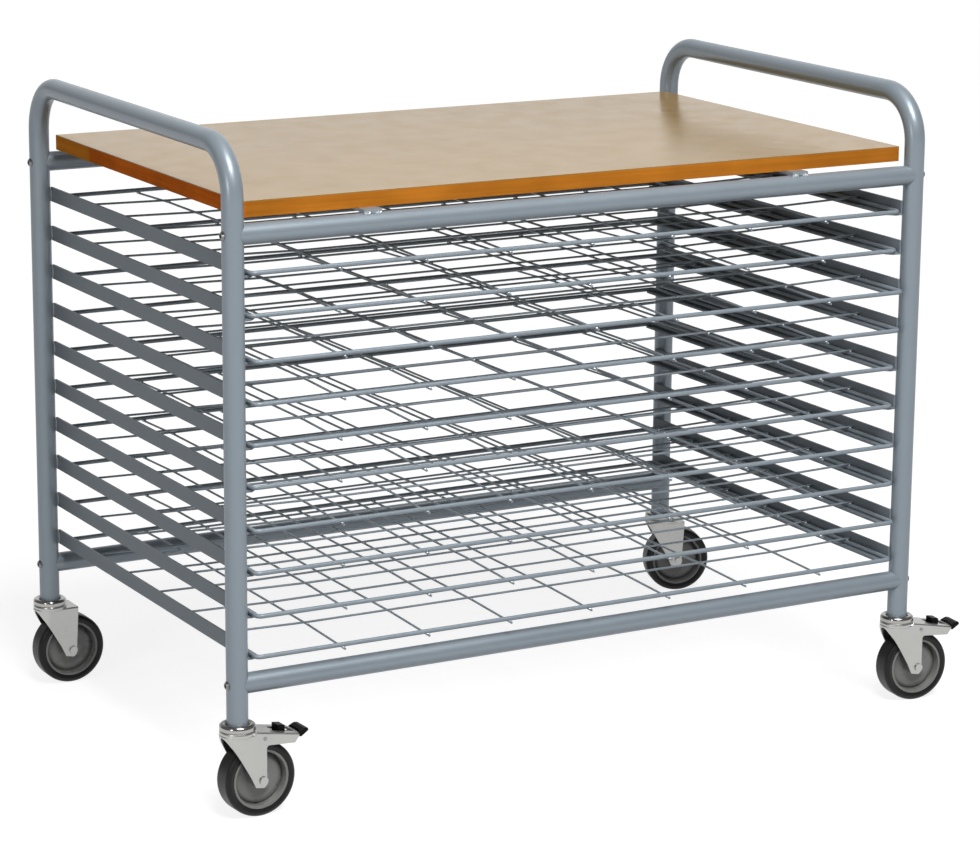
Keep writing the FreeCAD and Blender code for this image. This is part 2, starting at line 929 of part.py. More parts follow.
def fork_plan(body, lift, width, back, front, bulge_centre=None):
    """A sketch seen from above: round at the back, straight or bowed at the front."""
    plan = new_sketch(body, "XY_Plane", lift)
    half = width / 2
    turn_place = half - back
    corners = [
        (turn_place, -half),
        (front, -half),
        (front, half),
        (turn_place, half),
        (-back, 0),
    ]
    arcs = {3: (turn_place, 0), 4: (turn_place, 0)}
    if bulge_centre is not None:
        arcs[1] = (bulge_centre, 0)
    draw(plan, corners, arcs)
    return plan


def castor_fork(label, at, turn, braked):
    """A pressed fork with the lower race on top; a braked one reaches out as a housing."""
    body = new_body(label, at, turn)
    top = size("fork_top")
    sheet_metal = size("fork_sheet")
    ceiling = top - sheet_metal
    front = size("fork_front")
    back = size("fork_back")
    far = arm_limit + back
    if braked:
        plan = fork_plan(body, 0, fork_outside, back, arm_reach, bow_centre)
    else:
        plan = fork_plan(body, 0, fork_outside, back, front + 2 * size("fork_lean"))
    blank = pad(body, plan, 2 * top)
    profile = [
        (-2 * back, top),
        (-2 * back, ceiling),
        (-size("fork_heel_start"), ceiling),
        (size("fork_heel_run"), size("fork_heel_height")),
        (size("fork_foot_start"), size("fork_foot_height") + size("fork_lean") / 2),
        (size("fork_foot_end"), size("fork_foot_height")),
        (front, size("fork_foot_height") + size("fork_lean")),
    ]
    if braked:
        profile += [
            (front, size("arm_root_height")),
            (arm_reach - size("arm_chamfer"), size("arm_tip_height")),
            (arm_reach, arm_end),
            (arm_limit, arm_end),
            *reversed(arm_crest),
            (size("arm_start"), top),
        ]
    else:
        profile.append((front + size("fork_lean"), top))
    side_view = new_sketch(body, "XZ_Plane")
    draw(side_view, [(-far, -far), (far, -far), (far, 3 * top), (-far, 3 * top)])
    draw(side_view, profile)
    blank = pocket(body, side_view)

    def on_rim(point):
        height = top.value
        if braked and point.x > size("arm_start").value:
            ramp = ((size("arm_start"), top), arm_crest[0])
            line = ramp if point.x < arm_crest[0][0].value else arm_crest
            height = on_line(line, point.x).value
        crosswise = abs(point.y) < TOUCH and point.x < arm_reach.value
        return abs(point.z - height) < TOUCH and not crosswise

    round_edges(body, blank, size("fork_bend"), on_rim)
    inside = size("fork_inside")
    plan_front = size("arm_start") if braked else far
    hollow = fork_plan(body, ceiling, inside, back - sheet_metal, plan_front)
    pocket(body, hollow, ceiling)
    if braked:
        channel = new_sketch(body, "XZ_Plane")
        under_crest = on_line(arm_crest, slot_end) - sheet_metal
        cavity = [
            (0, 0),
            (far, 0),
            (far, arm_end),
            (slot_end, arm_end),
            (slot_end, under_crest),
            (arm_crest[0][0], size("arm_top") - sheet_metal),
            (size("arm_start"), ceiling),
            (0, ceiling),
        ]
        draw(channel, cavity)
        arm_hollow = pocket(body, channel, inside, symmetric=True)

        def in_notch(point):
            level = size("arm_root_height").value
            return abs(point.x - front.value) < TOUCH and abs(point.z - level) < TOUCH

        round_edges(body, arm_hollow, size("notch_round"), in_notch)
    rim = size("race_od") / 2
    waist = rim - size("crown_bulge")
    middle = (ceiling + size("race_top")) / 2
    rim_centre = rim - bow(size("race_top") - ceiling, size("crown_bulge"))
    crown = new_sketch(body, "XZ_Plane")
    outline = [(0, ceiling), (waist, ceiling), (waist, size("race_top")), (0, size("race_top"))]
    draw(crown, outline, {1: (rim_centre, middle)})
    revolve(body, crown)
    cup = new_sketch(body, "XY_Plane", size("race_top"))
    ring(cup, (0, 0), size("race_cup_od") / 2)
    pocket(body, cup, size("race_top") - top)
    swivel = new_sketch(body, "XY_Plane")
    ring(swivel, (0, 0), size("king_pin_od") / 2 + size("king_pin_play"))
    pocket(body, swivel)
    holes = new_sketch(body, "XZ_Plane")
    ring(holes, (trail, wheel_radius), size("axle_od") / 2 + size("axle_play"))
    if braked:
        pin_hole = size("pin_od") / 2 + size("pin_play")
        ring(holes, (size("pin_run"), size("pin_height")), pin_hole)
    pocket(body, holes)
    if braked:
        slot = new_sketch(body, "XY_Plane", size("arm_top"))
        half = size("slot_width") / 2
        corners = [
            (size("slot_start"), -half),
            (slot_end, -half),
            (slot_end, half),
            (size("slot_start"), half),
        ]
        draw(slot, corners)
        pocket(body, slot, size("arm_top") - arm_end)
    return body


def axle_bolt(label, at, turn):
    """A round-headed axle bolt along Y, its head on the front side."""
    body = new_body(label, at, turn)
    head = new_sketch(body, "XZ_Plane", fork_outside / 2)
    ring(head, (trail, wheel_radius), size("bolt_head_od") / 2)
    pad(body, head, size("bolt_head_height"))
    shank = new_sketch(body, "XZ_Plane", fork_outside / 2)
    ring(shank, (trail, wheel_radius), size("axle_od") / 2)
    stem = pad(body, shank, fork_outside + size("nut_height"))
    stem.Reversed = True
    return body


def axle_nut(label, at, turn):
    """The hexagon nut on the rear end of the axle bolt."""
    body = new_body(label, at, turn)
    plan = new_sketch(body, "XZ_Plane", -fork_outside / 2)
    hexagon(plan, (trail, wheel_radius), size("nut_across"))
    ring(plan, (trail, wheel_radius), size("axle_od") / 2 + size("rim_fit"))
    nut = pad(body, plan, size("nut_height"))
    nut.Reversed = True
    return body


def axle_sketch(body):
    """A level sketch through the axle, whose first construction line is the axle's axis."""
    sketch = new_sketch(body, "XY_Plane", wheel_radius)
    ends = (trail, 0), (trail, size("hub_width"))
    axle = sketch.addGeometry(Part.LineSegment(spot(ends[0]), spot(ends[1])), True)
    hold(sketch, axle, 1, *ends[0])
    hold(sketch, axle, 2, *ends[1])
    return sketch


def wheel_centre(label, at, turn):
    """Rim, dished web and hub, turned about the axle."""
    body = new_body(label, at, turn)
    section = axle_sketch(body)
    rim = size("rim_od") / 2
    half_rim = size("rim_width") / 2
    half_hub = size("hub_width") / 2
    hub = size("hub_od") / 2
    web = half_rim - size("dish_depth")
    bore = size("axle_od") / 2 + size("axle_play")
    outline = [
        (trail + bore, -half_hub),
        (trail + hub, -half_hub),
        (trail + hub, -web),
        (trail + rim - size("rim_wall"), -half_rim),
        (trail + rim, -half_rim),
        (trail + rim, half_rim),
        (trail + rim - size("rim_wall"), half_rim),
        (trail + hub, web),
        (trail + hub, half_hub),
        (trail + bore, half_hub),
    ]
    draw(section, outline)
    revolve(body, section, "Axis0")
    return body


def tyre(label, at, turn):
    """The tyre with its rounded shoulders, turned about the axle."""
    body = new_body(label, at, turn)
    section = axle_sketch(body)
    seat = trail + size("rim_od") / 2 + size("rim_fit")
    half = size("tyre_width") / 2
    shoulder = size("tyre_shoulder")
    tread = trail + wheel_radius
    outline = [
        (seat, -size("rim_width") / 2),
        (tread - shoulder, -half),
        (tread, shoulder - half),
        (tread, half - shoulder),
        (tread - shoulder, half),
        (seat, size("rim_width") / 2),
    ]
    centres = {1: (tread - shoulder, shoulder - half), 3: (tread - shoulder, half - shoulder)}
    draw(section, outline, centres)
    revolve(body, section, "Axis0")
    return body


# ---------------------------------------------------------------- foot brake


def brake_pin(label, at, turn):
    """The pin through the housing that the brake lever turns on."""
    body = new_body(label, at, turn)
    section = new_sketch(body, "XZ_Plane")
    ring(section, (size("pin_run"), size("pin_height")), size("pin_od") / 2)
    pad(body, section, fork_outside + 2 * size("pin_proud"), symmetric=True)
    return body


def tongue_section():
    """Side view of the lever's narrow part, which carries both pads."""
    start = size("shoe_start")
    return [
        (start, on_line(lever_under, start)),
        lever_under[1],
        lever_upper[1],
        (start, on_line(lever_upper, start)),
    ]


def brake_lever(label, at, turn):
    """A steel lever inside the housing: eye on the pin, shoe over the tyre, narrow tongue."""
    body = new_body(label, at, turn)
    pin = (size("pin_run"), size("pin_height"))
    eye = new_sketch(body, "XZ_Plane")
    ring(eye, pin, size("lever_eye_od") / 2)
    pad(body, eye, size("lever_width"), symmetric=True)
    shoe = new_sketch(body, "XZ_Plane")
    corners = [
        lever_under[0],
        (size("shoe_start"), size("shoe_heel")),
        (size("shoe_end"), size("shoe_toe")),
        (size("shoe_end"), on_line(lever_upper, size("shoe_end"))),
        lever_upper[0],
    ]
    draw(shoe, corners)
    pad(body, shoe, size("lever_width"), symmetric=True)
    tongue = new_sketch(body, "XZ_Plane")
    draw(tongue, tongue_section())
    pad(body, tongue, size("tongue_width"), symmetric=True)
    hole = new_sketch(body, "XZ_Plane")
    ring(hole, pin, size("pin_od") / 2 + size("pin_play"))
    pocket(body, hole)
    return body


def release_pad(label, at, turn):
    """The pad in the slot, which lets the brake go; it stands on the lever."""
    body = new_body(label, at, turn)
    start = size("release_start")
    end = start + size("release_run")
    top = size("release_top")
    section = new_sketch(body, "XZ_Plane")
    corners = [
        (start, on_line(lever_upper, start)),
        (end, on_line(lever_upper, end)),
        (end, top - size("release_fall")),
        (start, top),
    ]
    draw(section, corners)
    block = pad(body, section, size("release_width"), symmetric=True)
    lowest = (top - size("release_fall")).value - TOUCH
    round_edges(body, block, size("pad_round"), lambda point: point.z > lowest)
    return body


def foot_pedal(label, at, turn):
    """The pad past the end of the housing, moulded on the end of the lever."""
    body = new_body(label, at, turn)
    root = arm_reach + size("pedal_root")
    section = new_sketch(body, "XZ_Plane")
    corners = [
        (root, arm_tip - size("pedal_heel")),
        (pedal_reach - size("pedal_keel_run"), arm_tip - size("pedal_keel")),
        (pedal_reach, arm_tip + size("pedal_nose")),
        (pedal_reach - size("pedal_brow_run"), arm_tip + size("pedal_brow")),
        (pedal_reach - size("pedal_crest_run"), arm_tip + size("pedal_crest")),
        (root, arm_tip + size("pedal_back")),
    ]
    draw(section, corners)
    block = pad(body, section, size("pedal_width"), symmetric=True)
    round_edges(body, block, size("pedal_round"), lambda point: point.x > root.value + TOUCH)
    face = new_sketch(body, "XY_Plane")
    ring(face, (bow_centre, 0), bow_radius + size("pedal_gap"))
    pocket(body, face)
    seat = new_sketch(body, "XZ_Plane")
    draw(seat, tongue_section())
    pocket(body, seat, size("tongue_width"), symmetric=True)
    return body


# ---------------------------------------------------------------- the rack


def castor(name, side, end, braked):
    """Every piece of one castor, each a body of its own."""
    at = (CENTRE_X + side * leg_x, end * leg_y, 0)
    turn = size(f"turn_{name}")
    pieces = [
        castor_socket(f"{name}_castor_socket", at),
        castor_head(f"{name}_castor_head", at),
        castor_fork(f"{name}_fork", at, turn, braked),
        axle_bolt(f"{name}_axle_bolt", at, turn),
        axle_nut(f"{name}_axle_nut", at, turn),
        wheel_centre(f"{name}_wheel_centre", at, turn),
        tyre(f"{name}_tyre", at, turn),
    ]
    if braked:
        pieces.append(brake_pin(f"{name}_brake_pin", at, turn))
        pieces.append(brake_lever(f"{name}_brake_lever", at, turn))
        pads = [
            release_pad(f"{name}_release_pad", at, turn),
            foot_pedal(f"{name}_foot_pedal", at, turn),
        ]
        pieces.append(group(f"{name}_brake_pedal", pads))
    return pieces


def build():
    """Every sub-part of the rack, in the order in which it is put together."""
    parts = []
    for name, side in SIDES.items():
        parts.append(side_frame(f"{name}_side_frame", side))
        parts.append(shelf_rails(f"{name}_shelf_rails", side))
    inserts = []
    screws = []
    for level_name, level in LEVELS.items():
        for end_name, end in ENDS.items():
            parts.append(cross_tube(f"{end_name}_{level_name}_tube", end, level))
            for side_name, side in SIDES.items():
                place = f"{side_name}_{end_name}_{level_name}"
                inserts.append(tube_insert(f"insert_{place}", side, end, level))
                screws.append(frame_screw(f"screw_{place}", side, end, level))
    parts.append(group("tube_inserts", inserts))
    parts.append(group("frame_screws", screws))
    lugs = []
    lug_screws = []
    for side_name, side in SIDES.items():
        for end_name, end in ENDS.items():
            lugs.append(table_lug(f"lug_{side_name}_{end_name}", side, end))
            lug_screws.append(lug_screw(f"lug_screw_{side_name}_{end_name}", side, end))
    parts.append(group("table_lugs", lugs))
    parts.append(group("lug_screws", lug_screws))
    parts.append(table_board())
    strips = [lipping_strip(f"lipping_{name}", end, True) for name, end in ENDS.items()]
    strips += [lipping_strip(f"lipping_{name}", side, False) for name, side in SIDES.items()]
    parts.append(group("table_lipping", strips))
    count = int(size("rail_count").value)
    for number in range(1, count + 1):
        forward = size(f"forward_{number:02d}")
        parts.append(shelf(f"shelf_{number:02d}", count - number, forward))
    for end_name, end in ENDS.items():
        for side_name, side in SIDES.items():
            parts += castor(f"{end_name}_{side_name}", side, end, end_name == "front")
    return parts


def check(parts):
    """Stops on any object that failed, any sub-part that is no valid solid, any idle cut."""
    for item in document.Objects:
        if "Invalid" in item.State or "Error" in item.State:
            raise RuntimeError(f"{item.Name} is in state {item.State}")
        if item.TypeId == "PartDesign::Pocket":
            if item.Shape.Volume >= item.BaseFeature.Shape.Volume:
                raise RuntimeError(f"{item.Name} cuts nothing")
    for part in parts:
        if part.Shape.isNull() or not part.Shape.isValid() or not part.Shape.Solids:
            raise RuntimeError(f"{part.Label} is not a valid solid")


def write(parts):
    """Writes each sub-part to parts/LABEL.step."""
    os.makedirs("parts", exist_ok=True)
    for part in parts:
        part.Shape.exportStep(os.path.join("parts", f"{part.Label}.step"))


rack = build()
document.recompute()
check(rack)
write(rack)
print(f"{len(rack)} sub-parts, {sum(len(part.Shape.Solids) for part in rack)} solids")
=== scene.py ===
import json
import math

import bmesh
import bpy
import numpy as np
from bpy.props import FloatProperty, FloatVectorProperty, IntProperty, PointerProperty
from mathutils import Matrix, Vector


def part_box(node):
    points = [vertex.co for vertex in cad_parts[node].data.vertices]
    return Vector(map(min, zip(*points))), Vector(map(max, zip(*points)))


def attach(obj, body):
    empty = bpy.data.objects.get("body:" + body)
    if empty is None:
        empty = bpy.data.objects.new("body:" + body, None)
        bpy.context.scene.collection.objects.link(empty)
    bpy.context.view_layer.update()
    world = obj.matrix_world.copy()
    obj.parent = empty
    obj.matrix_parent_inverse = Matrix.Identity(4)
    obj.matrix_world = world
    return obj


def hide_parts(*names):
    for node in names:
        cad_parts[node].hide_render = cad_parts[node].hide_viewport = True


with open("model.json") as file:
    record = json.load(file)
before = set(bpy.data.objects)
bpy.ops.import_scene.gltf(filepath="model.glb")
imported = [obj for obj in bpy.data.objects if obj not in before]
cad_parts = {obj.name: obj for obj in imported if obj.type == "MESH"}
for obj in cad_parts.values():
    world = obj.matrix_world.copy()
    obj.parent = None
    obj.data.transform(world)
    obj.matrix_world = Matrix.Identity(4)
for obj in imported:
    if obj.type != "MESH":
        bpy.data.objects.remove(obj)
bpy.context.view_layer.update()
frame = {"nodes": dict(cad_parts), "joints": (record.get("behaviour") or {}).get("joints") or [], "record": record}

bl_info = {
    "name": "Art drying rack",
    "version": (1, 1, 0),
    "blender": (4, 5, 0),
    "location": "3D Viewport > Sidebar > Drying rack",
    "description": "Finishes, welds and studio of an art drying rack on castors",
    "category": "Object",
}

SIDES = {"left": -1, "right": 1}
ENDS = {"front": -1, "rear": 1}
SHELVES = tuple(
    part["node"] for part in frame["record"]["subparts"] if part["node"].startswith("shelf_")
)
UP = np.array([0.0, 0.0, 1.0])
RIGHTWARDS = np.array([1.0, 0.0, 0.0])
BACKWARDS = np.array([0.0, 1.0, 0.0])
SENSOR_WIDTH = 36.0


# ---------------------------------------------------------------- settings


def colour(name, description, default):
    """A colour setting, in linear light."""
    return FloatVectorProperty(
        name=name, description=description, default=default, min=0, max=1, subtype="COLOR"
    )


def length(name, description, default):
    """A length setting, in metres."""
    return FloatProperty(name=name, description=description, default=default, min=0, unit="LENGTH")


def angle(name, description, degrees):
    """An angle setting, given in degrees."""
    return FloatProperty(
        name=name, description=description, default=math.radians(degrees), subtype="ANGLE"
    )


def level(name, description, default):
    """A strength between none and full."""
    return FloatProperty(name=name, description=description, default=default, min=0, max=1)


def position(name, description, default):
    """A place in the rack's frame, in metres."""
    return FloatVectorProperty(
        name=name, description=description, default=default, subtype="TRANSLATION", unit="LENGTH"
    )


def power(name, description, default):
    """A lamp's power, in watts."""
    return FloatProperty(name=name, description=description, default=default, min=0, unit="POWER")


class FinishSettings(bpy.types.PropertyGroup):
    paint: colour("Frame paint", "Silver powder coat of tubes and shelves", (0.275, 0.32, 0.36))
    rail_paint: colour("Rail paint", "The duller coat of the angle rails", (0.235, 0.265, 0.295))
    zinc: colour("Zinc", "Satin zinc plate of the forks", (0.45, 0.45, 0.435))
    dull_zinc: colour("Dull zinc", "Darker plate of screws and nuts", (0.20, 0.20, 0.20))
    bright_zinc: colour("Bright zinc", "Mirror-bright plate of castor heads", (0.36, 0.355, 0.34))
    # Painted highlight: the welds carry the frame's paint, and this lighter tint stands in for the light they
    # catch.
    weld: colour("Weld", "Thinly coated weld metal", (0.55, 0.57, 0.58))
    steel: colour("Steel", "Bare steel of pins, levers and plugs", (0.33, 0.33, 0.32))
    laminate: colour("Laminate", "Golden beige top of the table board", (0.315, 0.195, 0.056))
    lipping: colour("Lipping", "Lacquered wood round the board", (0.50, 0.172, 0.018))
    lipping_red: colour("Red lipping", "The redder wood at the left end", (0.50, 0.115, 0.013))
    # Painted light: this factor makes the lipping's left strip lighter, standing in for more light falling on that
    # side.
    left_painted_light: FloatProperty(
        name="Left lightness", description="Of the lipping's left strip", default=1.38, min=0
    )
    wheel_grey: colour("Wheel grey", "Moulded wheel centres", (0.20, 0.20, 0.195))
    rubber: colour("Rubber", "Dark grey of the tyres", (0.011, 0.011, 0.0105))
    black: colour("Black plastic", "Pedals, release pads and stem plugs", (0.003, 0.003, 0.003))


class RailWeldSettings(bpy.types.PropertyGroup):
    rail_height: length("Rail height", "Height of an angle's web", 0.020)
    bead_length: length("Bead length", "Length of a bead at a rail's end", 0.017)
    bead_width: length("Bead width", "Width of a bead", 0.0042)
    bead_depth: length("Bead depth", "Depth of a bead in the groove between web and leg", 0.0030)
    inset: length("Inset", "From the leg's axis to the bead, along the rail", 0.0075)
    groove: length("Groove", "From the web to the middle of the bead", 0.0012)
    ripple: level("Ripple", "How much a bead's girth varies", 0.12)


class LugWeldSettings(bpy.types.PropertyGroup):
    lug_width: length("Lug width", "Width of a lug at the tube", 0.025)
    spot_length: length("Spot length", "Length of a weld spot along the tube", 0.0095)
    spot_width: length("Spot width", "Width of a weld spot", 0.0052)
    spread: length("Spread", "Between the two spots of a lug", 0.0155)
    drop: length("Drop", "Of the spots below the lug's underside", 0.0002)
    ripple: level("Ripple", "How much a spot's girth varies", 0.15)


class WireWeldSettings(bpy.types.PropertyGroup):
    rods_across: length("Rods across", "Between the side rods' axes", 0.980)
    rods_deep: length("Rods deep", "Between the front and rear rods' axes", 0.626)
    rod_radius: length("Rod radius", "Radius of the frame rod", 0.003)
    long_wires: IntProperty(
        name="Long wires", description="Wires along the shelf", default=5, min=1
    )
    cross_wires: IntProperty(
        name="Cross wires", description="Wires across the shelf", default=7, min=1
    )
    rod_nugget: length("Rod nugget", "Length of the weld of a wire to a rod", 0.0052)
    mesh_nugget: length("Mesh nugget", "Length of the weld where two wires cross", 0.0040)
    thickness: length("Thickness", "Thickness of a nugget", 0.0030)


class WheelSettings(bpy.types.PropertyGroup):
    steps: IntProperty(name="Steps", description="Faces round a wheel centre", default=128, min=24)
    rim_radius: length("Rim radius", "Where the tyre sits", 0.0393)
    rim_half: length("Rim half", "From the wheel's middle to the rim's edge", 0.0145)
    lip: length("Lip", "Width of the rim's flat edge", 0.0030)
    well_radius: length("Well radius", "Where the rim's inside meets the dish", 0.0346)
    well_half: length("Well half", "From the wheel's middle to the dish at the rim", 0.0030)
    crown_radius: length("Crown radius", "Where the dish stands out furthest", 0.0190)
    crown_half: length("Crown half", "From the wheel's middle to the dish there", 0.0082)
    hub_radius: length("Hub radius", "Radius of the hub", 0.0120)
    hub_half: length("Hub half", "From the wheel's middle to the hub's end", 0.0180)
    bore_radius: length("Bore radius", "Radius of the hole for the axle", 0.0041)


class CameraSettings(bpy.types.PropertyGroup):
    place: position("Place", "Where the camera stands", (-2.26205, -4.0088, 1.4984))
    heading: angle("Heading", "Turn of the view from +Y towards +X", 29.351)
    tilt: angle("Tilt", "Fall of the view below level", 13.655)
    roll: angle("Roll", "Turn about the view", 0.486)
    focal: FloatProperty(
        name="Focal length", description="In mm, on a 36 mm sensor", default=123.64, min=1
    )
    far: length("Far end", "Where the view ends", 200.0)


class StageSettings(bpy.types.PropertyGroup):
    floor_side: length("Floor", "Side of the floor", 60.0)
    floor_grey: level("Floor grey", "How much light the floor gives back", 0.34)
    near_glow: level("Near glow", "Added where the floor is seen near the rack", 0.84)
    far_glow: level("Far glow", "Added where the floor is seen far from the lamps", 0.95)
    near: length("Near", "From the middle to where the glow begins to grow", 1.2)
    far: length("Far", "From the middle to where it is full", 4.5)
    sky: level("Sky", "Strength of the even light", 0.11)
    backdrop: level("Backdrop", "What shiny surfaces see behind the rack", 1.0)
    room: level("Room", "What shiny surfaces see on the camera's side", 0.20)
    backdrop_edge: angle("Backdrop's edge", "From the view to where the backdrop fades", 25.0)
    room_edge: angle("Room's edge", "From the view to where the room begins", 60.0)
    aim_height: length("Aim", "Height of the point that the lamps face", 0.45)
    key_place: position("Key's place", "Where the large lamp hangs, in front", (-0.35, -2.6, 4.2))
    key_side: length("Key's side", "Side of the square lamp", 2.2)
    key_power: power("Key's power", "Power of the lamp", 222.0)
    top_place: position("Top's place", "Where the upper lamp hangs", (0.3, -0.6, 4.2))
    top_side: length("Top's side", "Side of the square lamp", 2.4)
    top_power: power("Top's power", "Power of the lamp", 12.0)
    fill_place: position("Fill's place", "Where the small left lamp stands", (-3.1, -1.65, 1.4))
    fill_side: length("Fill's side", "Side of the square lamp", 0.6)
    fill_power: power("Fill's power", "Power of the lamp", 17.0)


# ---------------------------------------------------------------- surfaces


def add_mesh(name, corners, quads, material, smooth_angle=35.0):
    """A mesh object in the rack's frame, smooth except over edges sharper than the angle."""
    mesh = bpy.data.meshes.new(name)
    mesh.from_pydata(corners.reshape(-1, 3).tolist(), [], quads.tolist())
    mesh.validate()
    mesh.update()
    mesh.shade_smooth()
    mesh.set_sharp_from_angle(angle=math.radians(smooth_angle))
    mesh.materials.append(material)
    piece = bpy.data.objects.new(name, mesh)
    bpy.context.scene.collection.objects.link(piece)
    return piece


def tube_quads(rows, columns):
    """Corner numbers of the faces of a grid whose columns close up into rings."""
    numbers = np.meshgrid(np.arange(rows - 1), np.arange(columns), indexing="ij")
    row, column = (part.ravel() for part in numbers)
    on = (column + 1) % columns
    here, below = row * columns, (row + 1) * columns
    return np.stack([here + column, here + on, below + on, below + column], axis=1)


def closed(piece, distance=1e-7):
    """Joins the corners that share a place at a pole and turns every face outwards."""
    work = bmesh.new()
    work.from_mesh(piece.data)
    bmesh.ops.remove_doubles(work, verts=work.verts, dist=distance)
    bmesh.ops.recalc_face_normals(work, faces=work.faces)
    work.to_mesh(piece.data)
    work.free()
    return piece


def lathe(name, profile, centre, axis, steps, material):
    """A turned ring: centre + height * axis + radius * (cos u * a + sin u * b).

    The profile holds the (radius, height) pairs of a closed loop; a and b are square to the axis.
    """
    axis = np.asarray(axis, float)
    a = np.cross(axis, UP)
    a /= np.linalg.norm(a)
    b = np.cross(axis, a)
    u = np.linspace(0, 2 * np.pi, steps, endpoint=False)[None, :, None]
    loop = np.vstack([profile, profile[:1]])
    radius, height = (loop[:, part][:, None, None] for part in (0, 1))
    points = np.asarray(centre) + height * axis + radius * (np.cos(u) * a + np.sin(u) * b)
    return closed(add_mesh(name, points, tube_quads(len(loop), steps), material))


def arc(start, control, end, steps=8):
    """Points (1-t)^2 start + 2t(1-t) control + t^2 end of a curve between two points."""
    t = np.linspace(0, 1, steps)[:, None]
    start, control, end = np.array([start, control, end])
    return (1 - t) ** 2 * start + 2 * t * (1 - t) * control + t**2 * end


def beads(name, centres, along, out, size, material, rows, columns, ripple=0.0, waves=9):
    """Weld beads: each is the ball x = cos v, y = g cos u, z = g sin u, drawn out.

    Its girth is g = sin v * (1 + ripple * sin(waves * v)), for v from 0 to pi along the bead
    and u once round it. The ball is stretched to `size` along three directions: `along`,
    `out` and the one square to both.
    """
    directions = np.stack([along, out, np.cross(along, out)])
    u = np.linspace(0, 2 * np.pi, columns, endpoint=False)[None, :]
    v = np.linspace(0, np.pi, rows)[:, None]
    girth = np.sin(v) * (1 + ripple * np.sin(waves * v))
    ball = np.stack([np.cos(v) + 0 * u, girth * np.cos(u), girth * np.sin(u)], axis=-1)
    one = (ball * np.asarray(size) / 2) @ directions
    centres = np.asarray(centres, float).reshape(-1, 1, 1, 3)
    first = np.arange(len(centres))[:, None, None] * rows * columns
    quads = (tube_quads(rows, columns)[None] + first).reshape(-1, 4)
    return closed(add_mesh(name, centres + one, quads, material))


def grid_points(across, deep, height):
    """Every point (x, y, height) for the x values across and the y values deep."""
    x, y = np.meshgrid(across, deep, indexing="ij")
    return np.stack([x.ravel(), y.ravel(), np.full(x.size, height)], axis=1)


# ---------------------------------------------------------------- shader parts


def new_group(name, inputs, outputs):
    """A shader node group with its inputs and outputs, and its two end nodes."""
    group = bpy.data.node_groups.new(name, "ShaderNodeTree")
    for label, kind, default in inputs:
        item = group.interface.new_socket(label, in_out="INPUT", socket_type=kind)
        item.default_value = default
    for label, kind in outputs:
        group.interface.new_socket(label, in_out="OUTPUT", socket_type=kind)
    return group, group.nodes.new("NodeGroupInput"), group.nodes.new("NodeGroupOutput")


def noise(tree, vector, scale, detail=3.0, roughness=0.5):
    """A cloudy value about one half."""
    node = tree.nodes.new("ShaderNodeTexNoise")
    tree.links.new(vector, node.inputs["Vector"])
    node.inputs["Scale"].default_value = scale
    node.inputs["Detail"].default_value = detail
    node.inputs["Roughness"].default_value = roughness
    return node.outputs["Fac"]


def spread(tree, value, low, high, to_low, to_high):
    """A value carried from one range to another, held at its ends."""
    node = tree.nodes.new("ShaderNodeMapRange")
    tree.links.new(value, node.inputs["Value"])
    ends = {"From Min": low, "From Max": high, "To Min": to_low, "To Max": to_high}
    for label, number in ends.items():
        node.inputs[label].default_value = number
    return node.outputs["Result"]


def reckon(tree, operation, first, second, third=None):
    """One step of arithmetic; each part is a number or another node's output."""
    node = tree.nodes.new("ShaderNodeMath")
    node.operation = operation
    for socket, part in zip(node.inputs, (first, second, third)):
        if isinstance(part, (int, float)):
            socket.default_value = part
        elif part is not None:
            tree.links.new(part, socket)
    return node.outputs[0]


def shade(tree, tint, amount):
    """A colour made darker or lighter: each of its parts times the amount."""
    node = tree.nodes.new("ShaderNodeVectorMath")
    node.operation = "SCALE"
    tree.links.new(tint, node.inputs[0])
    tree.links.new(amount, node.inputs["Scale"])
    return node.outputs["Vector"]


def blended(tree, amount, first, second):
    """A colour between two written ones."""
    node = tree.nodes.new("ShaderNodeMix")
    node.data_type = "RGBA"
    tree.links.new(amount, node.inputs["Factor"])
    for label, tint in (("A", first), ("B", second)):
        socket = next(s for s in node.inputs if s.name == label and s.type == "RGBA")
        socket.default_value = (*tint, 1)
    return next(s for s in node.outputs if s.type == "RGBA")


def coat_group(cloud_detail=4.0, grain_detail=2.0, roughness_drift=0.25):
    """Powder coat and plate: a tint that drifts slowly, and a fine orange peel for the bump."""
    group, start, end = new_group(
        "Coat grain",
        [
            ("Vector", "NodeSocketVector", (0, 0, 0)),
            ("Colour", "NodeSocketColor", (0.5, 0.5, 0.5, 1)),
            ("Drift", "NodeSocketFloat", 0.06),
            ("Cloud", "NodeSocketFloat", 6.0),
            ("Grain", "NodeSocketFloat", 700.0),
            ("Roughness", "NodeSocketFloat", 0.4),
        ],
        [
            ("Colour", "NodeSocketColor"),
            ("Roughness", "NodeSocketFloat"),
            ("Height", "NodeSocketFloat"),
        ],
    )
    slow = group.nodes.new("ShaderNodeTexNoise")
    group.links.new(start.outputs["Vector"], slow.inputs["Vector"])
    group.links.new(start.outputs["Cloud"], slow.inputs["Scale"])
    slow.inputs["Detail"].default_value = cloud_detail
    centred = reckon(group, "SUBTRACT", slow.outputs["Fac"], 0.5)
    amount = reckon(group, "MULTIPLY_ADD", centred, start.outputs["Drift"], 1.0)
    group.links.new(shade(group, start.outputs["Colour"], amount), end.inputs["Colour"])
    rough = reckon(
        group, "MULTIPLY_ADD", centred, roughness_drift, start.outputs["Roughness"]
    )
    group.links.new(rough, end.inputs["Roughness"])
    fine = group.nodes.new("ShaderNodeTexNoise")
    group.links.new(start.outputs["Vector"], fine.inputs["Vector"])
    group.links.new(start.outputs["Grain"], fine.inputs["Scale"])
    fine.inputs["Detail"].default_value = grain_detail
    group.links.new(fine.outputs["Fac"], end.inputs["Height"])
    return group


def group_named(name, make):
    """The node group of that name, made the first time."""
    return bpy.data.node_groups.get(name) or make()


